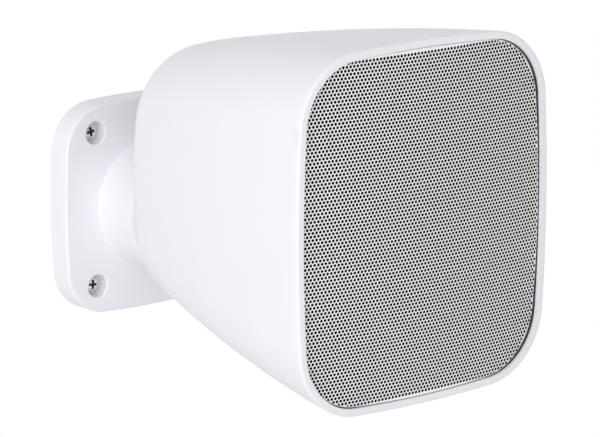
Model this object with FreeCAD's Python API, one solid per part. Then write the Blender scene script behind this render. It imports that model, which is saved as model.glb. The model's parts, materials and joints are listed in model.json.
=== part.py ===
import FreeCAD, Part
import math
import os
from collections import namedtuple

# Wall speaker: a bowed cabinet with a domed grille, on a ball joint and a wall plate.
# Origin: middle of the wall plate's back face. The wall is the plane y = 0, the front looks along -y, z is up.

V = FreeCAD.Vector
ALONG_Y = V(0, 1, 0)

# Clearances
pivot_fit = 0.06
ball_fit = 0.06
screw_fit = 0.05
screw_pass = 0.3
baffle_gap = 0.3
grille_gap = 0.3
seal_inset = 0.5
pin_fit = 0.05
header_gap = 0.2
glue_gap = 0.05

# Cabinet outside: widths, heights, side bows and corners at three depths behind the lip
front_width = 121.6
front_height = 137.6
front_side_bow = 3.6
front_top_bow = 3.0
front_corner = 28.0
middle_depth = 59.0
middle_width = 108.8
middle_height = 124.6
middle_side_bow = 5.2
middle_top_bow = 4.2
middle_corner = 30.0
cabinet_depth = 131.0
back_width = 81.8
back_height = 98.6
back_side_bow = 9.0
back_top_bow = 6.6
back_corner = 31.0
back_round = 13.0
lip_round = 0.8
joint_drop = 22.0

# Cabinet inside
cabinet_wall = 3.0
back_wall = 4.0
lip_width = 3.0
ledge_depth = 16.0
ledge_width = 6.0
ledge_thickness = 4.0
boss_radius = 4.5
boss_length = 18.0
boss_margin = 8.6
pivot_boss_radius = 14.0
pivot_boss_rise = 5.0

# Grille
crown_rise = 1.75
dome_radius_across = 500.0
dome_radius_up = 1060.0
grille_sheet = 1.0
mesh_pitch = 11.2
mesh_hole = 7.0
mesh_sides = 6
mesh_margin = 6.2
screen_sheet = 0.6
screen_gap = 0.1

# Baffle and its seal
baffle_thickness = 4.0
seal_thickness = 1.0

# Driver
driver_margin = 4.6
driver_seal_thickness = 1.0
frame_sheet = 1.6
flange_width = 8.6
trim_width = 6.4
trim_thickness = 1.5
trim_edge = 0.3
surround_lip = 2.4
surround_sheet = 0.8
roll_radius = 4.0
cone_lip = 2.0
cone_sheet = 0.8
cone_drop = 16.8
cone_neck = 3.0
basket_drop = 19.0
waist_radius = 29.0
can_radius = 26.0
can_length = 8.6
window_count = 5
window_width = 24.0
window_edge = 3.5
cap_radius = 16.0
cap_rise = 5.0
cap_sheet = 0.6
coil_inner = 12.6
former_wall = 0.35
winding_wall = 0.35
winding_length = 9.0
air_gap = 0.4
former_above_spider = 5.0
spider_sheet = 0.6
spider_wave = 1.2
spider_folds = 3
spider_lip = 1.4
pole_plate_radius = 35.0
pole_plate_thickness = 4.0
magnet_outer = 36.5
magnet_inner = 18.0
magnet_thickness = 13.0
yoke_thickness = 4.0
vent_radius = 3.5
tag_strip_width = 14.0
tag_strip_thickness = 1.5
tag_spacing = 8.0
tag_width = 2.8
tag_thickness = 0.6
tag_overhang = 8.0

# Wall plate
plate_width = 83.6
plate_height = 87.0
plate_side_bow = 2.4
plate_top_bow = 2.2
plate_corner = 18.8
plate_depth = 10.6
plate_round = 1.0
plate_wall = 2.6
plate_face = 3.2
rib_thickness = 2.0
socket_radius = 26.0
socket_base_round = 0.4
wall_screw_across = 53.6
wall_screw_up = 63.0
counterbore_radius = 4.6
counterbore_depth = 5.8
counterbore_round = 0.7
pillar_wall = 2.0

# Ball joint
ball_radius = 15.0
liner_wall = 1.5
liner_front = 6.0
liner_back = 13.0
liner_slits = 3
liner_slit_width = 1.6
liner_slit_depth = 10.0
socket_floor = 9.1
ring_thickness = 7.0
ring_round = 3.0
stud_reach = 23.5
neck_radius = 7.0
neck_round = 2.0
stud_flange_radius = 11.0
stud_flange_thickness = 3.0
spigot_radius = 8.0
pivot_play = 0.2
pivot_washer_thickness = 0.8
stud_washer_radius = 12.0
stud_washer_thickness = 1.5

# Input header
header_rise = 17.0
header_width = 20.0
header_height = 9.4
header_wall = 1.2
header_flange = 2.0
header_ear = 7.0
header_brim = 2.3
header_inside = 12.0
header_floor = 2.0
pin_spacing = 7.62
pin_side = 1.2
pin_reach = 8.0
pin_tail = 6.0

# Screws: head, shank and length under the head
wall_screw_head = 3.75
wall_screw_head_height = 2.4
wall_screw_shank = 2.0
wall_screw_neck = 1.7
wall_screw_length = 14.0
ring_screw_head = 2.7
ring_screw_head_height = 1.6
ring_screw_shank = 1.4
ring_screw_length = 14.0
ring_screw_margin = 4.0
ring_screw_count = 4
stud_screw_head = 5.5
stud_screw_head_height = 3.5
stud_screw_shank = 2.9
stud_screw_length = 16.0
baffle_screw_head = 3.0
baffle_screw_head_height = 2.2
baffle_screw_shank = 1.5
baffle_screw_length = 18.0
driver_screw_head = 2.7
driver_screw_head_height = 2.0
driver_screw_shank = 1.4
driver_screw_length = 7.5
driver_screw_count = 4
input_screw_head = 2.3
input_screw_head_height = 1.7
input_screw_shank = 1.2
input_screw_length = 8.0
recess_share = 0.6
recess_slot = 0.24
point_share = 1.5

Screw = namedtuple("Screw", "head_radius head_height radius length")
wall_screw = Screw(wall_screw_head, wall_screw_head_height, wall_screw_shank, wall_screw_length)
ring_screw = Screw(ring_screw_head, ring_screw_head_height, ring_screw_shank, ring_screw_length)
stud_screw = Screw(stud_screw_head, stud_screw_head_height, stud_screw_shank, stud_screw_length)
baffle_screw = Screw(baffle_screw_head, baffle_screw_head_height, baffle_screw_shank, baffle_screw_length)
driver_screw = Screw(driver_screw_head, driver_screw_head_height, driver_screw_shank, driver_screw_length)
input_screw = Screw(input_screw_head, input_screw_head_height, input_screw_shank, input_screw_length)

# Places along y, worked out from the wall to the front
seat_radius = ball_radius + ball_fit + liner_wall + ball_fit
ball_y = -(socket_floor + seat_radius)
ring_y = ball_y - ring_thickness
back_y = ball_y - stud_reach
lip_y = back_y - cabinet_depth
crown_y = lip_y - crown_rise
ledge_y = lip_y + ledge_depth
baffle_back_y = ledge_y - seal_thickness
baffle_front_y = baffle_back_y - baffle_thickness
flange_back_y = baffle_front_y - driver_seal_thickness
flange_front_y = flange_back_y - frame_sheet
waist_y = flange_back_y + basket_drop
base_y = waist_y + can_length
magnet_y = base_y + pole_plate_thickness
yoke_y = magnet_y + magnet_thickness
inner_back_y = back_y - back_wall
pivot_boss_y = inner_back_y - pivot_boss_rise

# Radii of the driver, worked inward from the opening in the lip
flange_radius = front_width / 2 - lip_width - baffle_gap - driver_margin
mouth_radius = flange_radius - flange_width
trim_outer = flange_radius - trim_edge
trim_inner = trim_outer - trim_width
driver_screw_circle = (trim_outer + trim_inner) / 2
surround_outer = trim_inner - glue_gap
roll_outer = surround_outer - surround_lip
roll_inner = roll_outer - 2 * roll_radius
cone_outer = roll_inner
former_outer = coil_inner + former_wall
winding_outer = former_outer + winding_wall
cone_inner = former_outer + glue_gap

# Three outlines of the cabinet and the one of the plate
Outline = namedtuple("Outline", "width height side_bow top_bow corner")
front_outline = Outline(front_width, front_height, front_side_bow, front_top_bow, front_corner)
middle_outline = Outline(middle_width, middle_height, middle_side_bow, middle_top_bow, middle_corner)
back_outline = Outline(back_width, back_height, back_side_bow, back_top_bow, back_corner)
plate_outline = Outline(plate_width, plate_height, plate_side_bow, plate_top_bow, plate_corner)


def bow_radius(half_chord, bow):
    """Radius of an arc that falls by bow over half its chord."""
    return (half_chord ** 2 + bow ** 2) / (2 * bow)


def outline_arcs(outline):
    """Side and top arcs of an outline, and the centre of the corner arc that touches both."""
    half_width = outline.width / 2
    half_height = outline.height / 2
    side_radius = bow_radius(half_height, outline.side_bow)
    top_radius = bow_radius(half_width, outline.top_bow)
    side_centre = half_width - side_radius
    top_centre = half_height - top_radius
    to_side = side_radius - outline.corner
    to_top = top_radius - outline.corner
    apart = math.hypot(side_centre, top_centre)
    along = (to_side ** 2 - to_top ** 2 + apart ** 2) / (2 * apart)
    aside = math.sqrt(to_side ** 2 - along ** 2)
    step_x = -side_centre / apart
    step_z = top_centre / apart
    corner_x = side_centre + along * step_x - aside * step_z
    corner_z = along * step_z + aside * step_x
    return side_centre, side_radius, top_centre, top_radius, corner_x, corner_z


def outline_wire(outline, inset, y, z):
    """Closed outline of four bowed sides and four round corners, moved inward by inset."""
    side_centre, side_radius, top_centre, top_radius, corner_x, corner_z = outline_arcs(outline)
    side_radius -= inset
    top_radius -= inset
    corner = outline.corner - inset
    side_turn = math.atan2(corner_z, corner_x - side_centre)
    top_turn = math.atan2(corner_z - top_centre, corner_x)
    side_x = side_centre + side_radius * math.cos(side_turn)
    side_z = side_radius * math.sin(side_turn)
    top_x = top_radius * math.cos(top_turn)
    top_z = top_centre + top_radius * math.sin(top_turn)
    middle_turn = (side_turn + top_turn) / 2
    round_x = corner_x + corner * math.cos(middle_turn)
    round_z = corner_z + corner * math.sin(middle_turn)
    right = outline.width / 2 - inset
    top = outline.height / 2 - inset
    arcs = [
        ((side_x, -side_z), (right, 0), (side_x, side_z)),
        ((side_x, side_z), (round_x, round_z), (top_x, top_z)),
        ((top_x, top_z), (0, top), (-top_x, top_z)),
        ((-top_x, top_z), (-round_x, round_z), (-side_x, side_z)),
        ((-side_x, side_z), (-right, 0), (-side_x, -side_z)),
        ((-side_x, -side_z), (-round_x, -round_z), (-top_x, -top_z)),
        ((-top_x, -top_z), (0, -top), (top_x, -top_z)),
        ((top_x, -top_z), (round_x, -round_z), (side_x, -side_z)),
    ]
    edges = []
    for points in arcs:
        edges.append(Part.Arc(*[V(px, y, z + pz) for px, pz in points]).toShape())
    return Part.Wire(edges)


def outline_block(outline, inset, y_from, y_to, z):
    """Straight block with an outline as its section."""
    face = Part.Face(outline_wire(outline, inset, y_from, z))
    return face.extrude(V(0, y_to - y_from, 0))


def cylinder(radius, y_from, y_to, x=0, z=0):
    """Round bar along y."""
    return Part.makeCylinder(radius, y_to - y_from, V(x, y_from, z), ALONG_Y)


def ring(outer, inner, y_from, y_to, z=0):
    """Flat ring about an axis along y."""
    return cylinder(outer, y_from, y_to, 0, z).cut(cylinder(inner, y_from, y_to, 0, z))


def block(x_from, x_to, y_from, y_to, z_from, z_to):
    """Box between two corners."""
    return Part.makeBox(x_to - x_from, y_to - y_from, z_to - z_from, V(x_from, y_from, z_from))


def turned(points, z=0):
    """Solid turned about an axis along y at height z, from a closed list of radius and y."""
    corners = [V(radius, y, z) for radius, y in points]
    face = Part.Face(Part.makePolygon(corners + corners[:1]))
    return face.revolve(V(0, 0, z), ALONG_Y, 360)


def edges_at(shape, y):
    """Edges that lie in the plane at y."""
    found = []
    for edge in shape.Edges:
        if abs(edge.BoundBox.YMin - y) < 1e-3 and abs(edge.BoundBox.YMax - y) < 1e-3:
            found.append(edge)
    return found


def around(count, radius, start):
    """Places on a circle, as x and z."""
    places = []
    for index in range(count):
        turn = math.radians(start + 360 * index / count)
        places.append((radius * math.cos(turn), radius * math.sin(turn)))
    return places


def corners_of(across, up):
    """Four corner places of a rectangle about the axis, as x and z."""
    return [(sx * across / 2, sz * up / 2) for sx in (1, -1) for sz in (1, -1)]


def cross_recess(screw, head_y):
    """Cross slot in the end of a screw's head."""
    reach = screw.head_radius * recess_share
    half = screw.head_radius * recess_slot / 2
    depth = screw.head_height * recess_share
    level = block(-reach, reach, head_y, head_y + depth, -half, half)
    upright = block(-half, half, head_y, head_y + depth, -reach, reach)
    return level.fuse(upright)


def pan_screw(screw):
    """Screw along +y with its head's seat at y = 0."""
    shoulder = screw.head_height / 2
    point_y = screw.length - point_share * screw.radius
    body = turned([
        (0, -screw.head_height),
        (screw.head_radius - shoulder, -screw.head_height),
        (screw.head_radius, -shoulder),
        (screw.head_radius, 0),
        (screw.radius, 0),
        (screw.radius, point_y),
        (0, screw.length),
    ])
    return body.cut(cross_recess(screw, -screw.head_height))


def flush_screw(screw):
    """Countersunk screw along +y with the top of its head at y = 0."""
    body = turned([
        (0, 0),
        (screw.head_radius, 0),
        (screw.radius, screw.head_height),
        (screw.radius, screw.length),
        (0, screw.length),
    ])
    return body.cut(cross_recess(screw, 0))


def group(shapes):
    """Separate solids kept together."""
    return Part.Compound(shapes)


def placed(shape, x, y, z):
    """Moved copy of a shape."""
    copy = shape.copy()
    copy.translate(V(x, y, z))
    return copy


def placed_at(shape, places, y, z=0):
    """Copies of a shape at several places."""
    return group([placed(shape, px, y, pz + z) for px, pz in places])


def bores_at(places, radius, y_from, y_to, z=0):
    """Round tools for holes at several places."""
    return group([cylinder(radius, y_from, y_to, px, pz + z) for px, pz in places])


def cabinet_loft(inset):
    """Body through the three outlines of the cabinet."""
    front = outline_wire(front_outline, inset, lip_y, joint_drop)
    middle = outline_wire(middle_outline, inset, lip_y + middle_depth, joint_drop)
    back = outline_wire(back_outline, inset, back_y, joint_drop)
    return Part.makeLoft([front, middle, back], True, False)


def baffle_screw_places():
    """Screw places near the corners of the recess, about the cabinet's axis."""
    corner_x, corner_z = outline_arcs(front_outline)[4:]
    out = (front_outline.corner - lip_width - boss_margin) * math.sqrt(0.5)
    return corners_of(2 * (corner_x + out), 2 * (corner_z + out))


def header_screw_places():
    """Two places on the ears of the input header, about the header's middle."""
    reach = (header_width + header_ear) / 2
    return [(reach, 0), (-reach, 0)]


def cabinet_shell():
    """Moulded housing: lip, recess with ledge and screw bosses, hollow body, pivot boss, header hole."""
    shell = cabinet_loft(0)
    shell = shell.makeFillet(back_round, edges_at(shell, back_y))
    shell = shell.makeFillet(lip_round, edges_at(shell, lip_y))
    ledge_back_y = ledge_y + ledge_thickness
    hollow = cabinet_loft(cabinet_wall).common(
        block(-front_width, front_width, ledge_back_y, inner_back_y, -front_height, 2 * front_height))
    hollow = hollow.makeFillet(back_round - cabinet_wall, edges_at(hollow, inner_back_y))
    posts = bores_at(baffle_screw_places(), boss_radius, ledge_y, ledge_y + boss_length, joint_drop)
    hollow = hollow.cut(posts)
    hollow = hollow.cut(cylinder(pivot_boss_radius, pivot_boss_y, inner_back_y))
    mouth = outline_block(front_outline, lip_width + ledge_width, ledge_y, ledge_back_y, joint_drop).cut(posts)
    shell = shell.cut(outline_block(front_outline, lip_width, lip_y, ledge_y, joint_drop))
    shell = shell.cut(mouth).cut(hollow)
    pilots = bores_at(baffle_screw_places(), baffle_screw.radius + screw_fit,
                      ledge_y, baffle_front_y + baffle_screw.length, joint_drop)
    shell = shell.cut(pilots)
    shell = shell.cut(cylinder(spigot_radius + pivot_fit, pivot_boss_y, back_y))
    header_z = joint_drop + header_rise
    half_width = header_width / 2 + header_gap
    half_height = header_height / 2 + header_gap
    shell = shell.cut(block(-half_width, half_width, inner_back_y, back_y,
                            header_z - half_height, header_z + half_height))
    return shell.cut(bores_at(header_screw_places(), input_screw.radius + screw_fit,
                              inner_back_y, back_y, header_z))


def dome(sink):
    """Body behind the grille's doubly curved front, moved back by sink."""
    across = dome_radius_across - sink
    top_y = crown_y + sink
    half = front_width
    fall = across - math.sqrt(across ** 2 - half ** 2)
    deep_y = top_y + front_width
    arc = Part.Arc(V(-half, top_y + fall, joint_drop), V(0, top_y, joint_drop), V(half, top_y + fall, joint_drop))
    rest = Part.makePolygon([V(half, top_y + fall, joint_drop), V(half, deep_y, joint_drop),
                             V(-half, deep_y, joint_drop), V(-half, top_y + fall, joint_drop)])
    face = Part.Face(Part.Wire([arc.toShape()] + rest.Edges))
    spread = math.degrees(math.asin(front_height / dome_radius_up))
    face.rotate(V(0, crown_y + dome_radius_up, joint_drop), V(1, 0, 0), -spread)
    return face.revolve(V(0, crown_y + dome_radius_up, joint_drop), V(1, 0, 0), 2 * spread)


def mesh_places():
    """Staggered places of the openings inside the grille's margin."""
    field = Part.Face(outline_wire(front_outline, lip_width + grille_gap + mesh_margin, 0, 0))
    row_step = mesh_pitch * math.sqrt(0.75)
    rows = int(front_height / row_step / 2)
    columns = int(front_width / mesh_pitch / 2) + 1
    places = []
    for row in range(-rows, rows + 1):
        shift = 0 if row % 2 else mesh_pitch / 2
        for column in range(-columns, columns + 1):
            place = (column * mesh_pitch + shift, row * row_step)
            if field.isInside(V(place[0], 0, place[1]), 1e-3, True):
                places.append(place)
    return places


def front_grille():
    """Domed sheet with a folded rim that stands on the baffle, open in a staggered pattern."""
    inset = lip_width + grille_gap
    far_y = crown_y - crown_rise
    cap = outline_block(front_outline, inset, far_y, baffle_front_y, joint_drop).common(dome(0))
    room = outline_block(front_outline, inset + grille_sheet, far_y, baffle_front_y, joint_drop)
    sheet = cap.cut(room.common(dome(grille_sheet)))
    corner = mesh_hole / 2 / math.cos(math.pi / mesh_sides)
    points = [V(px, far_y, pz) for px, pz in around(mesh_sides, corner, 180 / mesh_sides)]
    opening = Part.Face(Part.makePolygon(points + points[:1])).extrude(V(0, baffle_front_y - far_y, 0))
    return sheet.cut(placed_at(opening, mesh_places(), 0, joint_drop))


def grille_screen():
    """Thin screen bonded behind the grille's sheet."""
    inset = lip_width + grille_gap + grille_sheet + screen_gap
    sink = grille_sheet + screen_gap
    body = outline_block(front_outline, inset, crown_y, baffle_front_y, joint_drop)
    return body.common(dome(sink)).cut(dome(sink + screen_sheet))


def front_baffle():
    """Board with the driver's opening and screw holes."""
    board = outline_block(front_outline, lip_width + baffle_gap, baffle_front_y, baffle_back_y, joint_drop)
    board = board.cut(cylinder(mouth_radius + baffle_gap, baffle_front_y, baffle_back_y, 0, joint_drop))
    board = board.cut(bores_at(baffle_screw_places(), baffle_screw.radius + screw_pass,
                               baffle_front_y, baffle_back_y, joint_drop))
    return board.cut(bores_at(driver_screw_places(), driver_screw.radius + screw_fit,
                              baffle_front_y, baffle_back_y, joint_drop))


def baffle_seal():
    """Foam ring on the ledge behind the baffle."""
    outer = outline_block(front_outline, lip_width + seal_inset, baffle_back_y, ledge_y, joint_drop)
    inner = outline_block(front_outline, lip_width + ledge_width - seal_inset, baffle_back_y, ledge_y, joint_drop)
    return outer.cut(inner).cut(bores_at(baffle_screw_places(), baffle_screw.radius + screw_pass,
                                         baffle_back_y, ledge_y, joint_drop))


def driver_screw_places():
    """Screw places on the driver's flange, about the cabinet's axis."""
    return around(driver_screw_count, driver_screw_circle, 180 / driver_screw_count)


def driver_ring(outer, inner, y_from, y_to):
    """Flat ring of the driver with its four screw holes."""
    flat = ring(outer, inner, y_from, y_to, joint_drop)
    return flat.cut(bores_at(driver_screw_places(), driver_screw.radius + screw_pass, y_from, y_to, joint_drop))


def driver_frame():
    """Pressed basket: flange, windowed cone, ledge for the spider, can and base."""
    lean = frame_sheet * math.hypot(basket_drop, mouth_radius - waist_radius) / basket_drop
    basket = turned([
        (mouth_radius - lean, flange_front_y),
        (flange_radius, flange_front_y),
        (flange_radius, flange_back_y),
        (mouth_radius, flange_back_y),
        (waist_radius, waist_y),
        (waist_radius, waist_y + frame_sheet),
        (can_radius, waist_y + frame_sheet),
        (can_radius, base_y),
        (winding_outer + air_gap, base_y),
        (winding_outer + air_gap, base_y - frame_sheet),
        (can_radius - frame_sheet, base_y - frame_sheet),
        (can_radius - frame_sheet, waist_y),
        (waist_radius - lean, waist_y),
        (mouth_radius - lean, flange_back_y),
    ], joint_drop)
    basket = basket.cut(bores_at(driver_screw_places(), driver_screw.radius + screw_pass,
                                 flange_front_y, flange_back_y, joint_drop))
    window = block(0, flange_radius, flange_back_y + window_edge, waist_y - window_edge,
                   -window_width / 2, window_width / 2)
    for index in range(window_count):
        tool = window.copy()
        tool.rotate(V(0, 0, 0), ALONG_Y, 90 + 360 * index / window_count)
        tool.translate(V(0, 0, joint_drop))
        basket = basket.cut(tool)
    return basket


def surround():
    """Half roll between the flange and the cone's rim, with a flat lip on each side."""
    middle = (roll_outer + roll_inner) / 2
    arc_y = flange_front_y - surround_sheet
    outside = Part.Arc(V(roll_inner, arc_y, joint_drop), V(middle, arc_y - roll_radius, joint_drop),
                       V(roll_outer, arc_y, joint_drop)).toShape()
    small = roll_radius - surround_sheet
    inside = Part.Arc(V(middle + small, flange_front_y, joint_drop), V(middle, flange_front_y - small, joint_drop),
                      V(middle - small, flange_front_y, joint_drop)).toShape()
    outer_lip = Part.makePolygon([V(roll_outer, arc_y, joint_drop), V(surround_outer, arc_y, joint_drop),
                                  V(surround_outer, flange_front_y, joint_drop),
                                  V(middle + small, flange_front_y, joint_drop)])
    inner_lip = Part.makePolygon([V(middle - small, flange_front_y, joint_drop),
                                  V(roll_inner - cone_lip, flange_front_y, joint_drop),
                                  V(roll_inner - cone_lip, arc_y, joint_drop), V(roll_inner, arc_y, joint_drop)])
    profile = Part.Wire([outside] + outer_lip.Edges + [inside] + inner_lip.Edges)
    return Part.Face(profile).revolve(V(0, 0, joint_drop), ALONG_Y, 360)


def cone_slope():
    """Drop of the cone for each unit of radius."""
    return cone_drop / (cone_outer - cone_lip - cone_inner)


def cone():
    """Paper cone with a flat rim under the surround's lip and a neck on the former."""
    thick = cone_sheet * math.hypot(1, cone_slope())
    rim_y = flange_front_y + cone_sheet
    neck_y = flange_front_y + cone_drop
    return turned([
        (cone_outer - cone_lip, flange_front_y),
        (cone_outer, flange_front_y),
        (cone_outer, rim_y),
        (cone_outer - cone_lip, flange_front_y + thick),
        (cone_inner + cone_sheet, neck_y + thick - cone_sheet * cone_slope()),
        (cone_inner + cone_sheet, neck_y + cone_neck),
        (cone_inner, neck_y + cone_neck),
        (cone_inner, neck_y),
    ], joint_drop)


def dust_cap():
    """Thin dome glued on the cone's face."""
    foot_y = flange_front_y + (cone_outer - cone_lip - cap_radius) * cone_slope() - glue_gap
    top_y = foot_y - cap_sheet - cap_rise
    curve = bow_radius(cap_radius, cap_rise)
    half = cap_radius / 2
    fall = curve - math.sqrt(curve ** 2 - half ** 2)
    faces = []
    for level in (top_y, top_y + cap_sheet):
        faces.append(Part.Arc(V(0, level, joint_drop), V(half, level + fall, joint_drop),
                              V(cap_radius, level + cap_rise, joint_drop)).toShape())
    rim = Part.makeLine(V(cap_radius, foot_y - cap_sheet, joint_drop), V(cap_radius, foot_y, joint_drop))
    middle = Part.makeLine(V(0, top_y, joint_drop), V(0, top_y + cap_sheet, joint_drop))
    profile = Part.Wire(Part.__sortEdges__(faces + [rim, middle]))
    return Part.Face(profile).revolve(V(0, 0, joint_drop), ALONG_Y, 360)


def voice_coil():
    """Thin former with its winding in the magnet's gap."""
    middle_y = base_y + pole_plate_thickness / 2
    wound_y = middle_y - winding_length / 2
    end_y = middle_y + winding_length / 2
    top_y = waist_y - former_above_spider
    return turned([
        (coil_inner, top_y),
        (former_outer, top_y),
        (former_outer, wound_y),
        (winding_outer, wound_y),
        (winding_outer, end_y),
        (coil_inner, end_y),
    ], joint_drop)


def spider():
    """Folded disc from the former to the basket's ledge."""
    first = former_outer + glue_gap
    start = first + spider_lip
    seat = can_radius - frame_sheet
    step = (seat - start) / (2 * spider_folds)
    front = [(first, waist_y - spider_sheet), (start, waist_y - spider_sheet)]
    for index in range(spider_folds):
        front.append((start + (2 * index + 1) * step, waist_y - spider_sheet - spider_wave))
        front.append((start + (2 * index + 2) * step, waist_y - spider_sheet))
    front.append((seat + spider_lip, waist_y - spider_sheet))
    back = [(radius, y + spider_sheet) for radius, y in reversed(front)]
    return turned(front + back, joint_drop)


def yoke():
    """Back plate with the vented pole inside the coil."""
    pole_radius = coil_inner - air_gap
    return turned([
        (vent_radius, base_y),
        (pole_radius, base_y),
        (pole_radius, yoke_y),
        (pole_plate_radius, yoke_y),
        (pole_plate_radius, yoke_y + yoke_thickness),
        (vent_radius, yoke_y + yoke_thickness),
    ], joint_drop)


def driver_tags():
    """Insulating strip on the pole plate with two solder tags."""
    strip_y = base_y - tag_strip_thickness
    inner_z = joint_drop + can_radius + pivot_play
    outer_z = joint_drop + math.sqrt(pole_plate_radius ** 2 - (tag_strip_width / 2) ** 2)
    strip = block(-tag_strip_width / 2, tag_strip_width / 2, strip_y, base_y, inner_z, outer_z)
    tag = block(-tag_width / 2, tag_width / 2, strip_y - tag_thickness, strip_y,
                (inner_z + outer_z) / 2, outer_z + tag_overhang)
    return strip.fuse([placed(tag, side * tag_spacing / 2, 0, 0) for side in (1, -1)])


def wall_plate():
    """Moulded plate: round-edged face, boss with the ball's seat, counterbored holes, ribbed hollow back."""
    plate = outline_block(plate_outline, 0, -plate_depth, 0, 0)
    plate = plate.makeFillet(plate_round, edges_at(plate, -plate_depth))
    plate = plate.fuse(cylinder(socket_radius, ball_y, 0)).removeSplitter()
    foot = [edge for edge in edges_at(plate, -plate_depth) if edge.BoundBox.XMax < socket_radius + socket_base_round]
    plate = plate.makeFillet(socket_base_round, foot)
    places = corners_of(wall_screw_across, wall_screw_up)
    pillar = counterbore_radius + pillar_wall
    pocket = outline_block(plate_outline, plate_wall, plate_face - plate_depth, 0, 0)
    pocket = pocket.cut(cylinder(socket_radius, -plate_depth, 0)).cut(bores_at(places, pillar, -plate_depth, 0))
    half = rib_thickness / 2
    pocket = pocket.cut(block(-plate_width, plate_width, -plate_depth, 0, -half, half))
    pocket = pocket.cut(block(-half, half, -plate_depth, 0, -plate_height, plate_height))
    for sign in (1, -1):
        level = sign * wall_screw_up / 2
        pocket = pocket.cut(block(-plate_width, plate_width, -plate_depth, 0, level - half, level + half))
    plate = plate.cut(pocket)
    plate = plate.cut(bores_at(places, counterbore_radius, -plate_depth, counterbore_depth - plate_depth))
    mouth = 2 * math.pi * counterbore_radius
    mouths = [edge for edge in edges_at(plate, -plate_depth) if abs(edge.Length - mouth) < 1e-3]
    plate = plate.makeFillet(counterbore_round, mouths)
    plate = plate.cut(bores_at(places, wall_screw.radius + screw_pass, -plate_depth, 0))
    plate = plate.cut(Part.makeSphere(seat_radius, V(0, ball_y, 0)))
    return plate.cut(bores_at(ring_screw_places(), ring_screw.radius + screw_fit,
                              ball_y, ring_y + ring_screw.length + screw_pass))


def ring_screw_places():
    """Four places in the retaining ring."""
    circle = seat_radius + ring_screw_margin - ring_screw.radius + screw_pass
    return around(ring_screw_count, circle, 180 / ring_screw_count)


def wall_screws():
    """Screws in the plate's counterbores, each with a plain neck as far as the wall."""
    seat_y = counterbore_depth - plate_depth
    collar = ring(wall_screw.radius + screw_pass, wall_screw_neck, 0, -seat_y)
    return placed_at(pan_screw(wall_screw).cut(collar), corners_of(wall_screw_across, wall_screw_up), seat_y)


def socket_ring():
    """Retaining ring in front of the ball, with countersunk holes and a round front edge."""
    collar = cylinder(socket_radius, ring_y, ball_y)
    collar = collar.makeFillet(ring_round, edges_at(collar, ring_y))
    collar = collar.cut(Part.makeSphere(seat_radius, V(0, ball_y, 0)))
    sink = turned([
        (0, ring_y),
        (ring_screw.head_radius + screw_fit, ring_y),
        (ring_screw.radius + screw_fit, ring_y + ring_screw.head_height),
        (ring_screw.radius + screw_fit, ball_y),
        (0, ball_y),
    ])
    return collar.cut(placed_at(sink, ring_screw_places(), 0))


def socket_liner():
    """Friction shell between ball and seat, slit from its front edge."""
    centre = V(0, ball_y, 0)
    outer = ball_radius + ball_fit + liner_wall
    shell = Part.makeSphere(outer, centre).cut(Part.makeSphere(ball_radius + ball_fit, centre))
    shell = shell.common(cylinder(outer, ball_y - liner_front, ball_y + liner_back))
    half = liner_slit_width / 2
    for index in range(liner_slits):
        slit = block(-outer, outer, ball_y - liner_front, ball_y - liner_front + liner_slit_depth, -half, half)
        slit.rotate(V(0, 0, 0), ALONG_Y, 180 * index / liner_slits)
        shell = shell.cut(slit)
    return shell


def ball_stud():
    """Ball, neck and flange, with the spigot that the cabinet turns on."""
    flange_y = back_y + pivot_washer_thickness
    spigot_y = pivot_boss_y - pivot_play
    neck_y = flange_y + stud_flange_thickness
    stud = Part.makeSphere(ball_radius, V(0, ball_y, 0)).fuse(cylinder(neck_radius, neck_y, ball_y))
    stud = stud.fuse(cylinder(stud_flange_radius, flange_y, neck_y))
    stud = stud.fuse(cylinder(spigot_radius, spigot_y, flange_y)).removeSplitter()
    foot = [edge for edge in edges_at(stud, neck_y) if edge.BoundBox.XMax < neck_radius + neck_round]
    stud = stud.makeFillet(neck_round, foot)
    return stud.cut(cylinder(stud_screw.radius + screw_fit, spigot_y,
                             spigot_y - stud_washer_thickness + stud_screw.length))


def input_socket():
    """Header housing: ears on the cabinet's back, body through it, open shroud for the plug."""
    z = joint_drop + header_rise
    face_y = back_y + header_flange
    front_y = back_y - header_inside
    half_width = header_width / 2
    half_height = header_height / 2
    body = block(-half_width, half_width, front_y, face_y, z - half_height, z + half_height)
    ears = block(-half_width - header_ear, half_width + header_ear, back_y, face_y,
                 z - half_height - header_brim, z + half_height + header_brim)
    ears = ears.makeFillet(header_brim, [edge for edge in ears.Edges if edge.tangentAt(edge.FirstParameter).y ** 2 > 0.5])
    room = block(-half_width + header_wall, half_width - header_wall, front_y + header_floor, face_y,
                 z - half_height + header_wall, z + half_height - header_wall)
    housing = body.fuse(ears).cut(room)
    housing = housing.cut(bores_at(header_screw_places(), input_screw.radius + screw_pass, back_y, face_y, z))
    half_pin = pin_side / 2 + pin_fit
    for side in (1, -1):
        x = side * pin_spacing / 2
        housing = housing.cut(block(x - half_pin, x + half_pin, front_y, front_y + header_floor,
                                    z - half_pin, z + half_pin))
    return housing


def input_pins():
    """Two square pins through the header's floor."""
    z = joint_drop + header_rise
    half = pin_side / 2
    floor_y = back_y - header_inside
    pin = block(-half, half, floor_y - pin_tail, floor_y + header_floor + pin_reach, z - half, z + half)
    return group([placed(pin, side * pin_spacing / 2, 0, 0) for side in (1, -1)])


def input_screws():
    """Screws on the header's ears, heads towards the wall."""
    screw = pan_screw(input_screw)
    screw.rotate(V(0, 0, 0), V(0, 0, 1), 180)
    return placed_at(screw, header_screw_places(), back_y + header_flange, joint_drop + header_rise)


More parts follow.
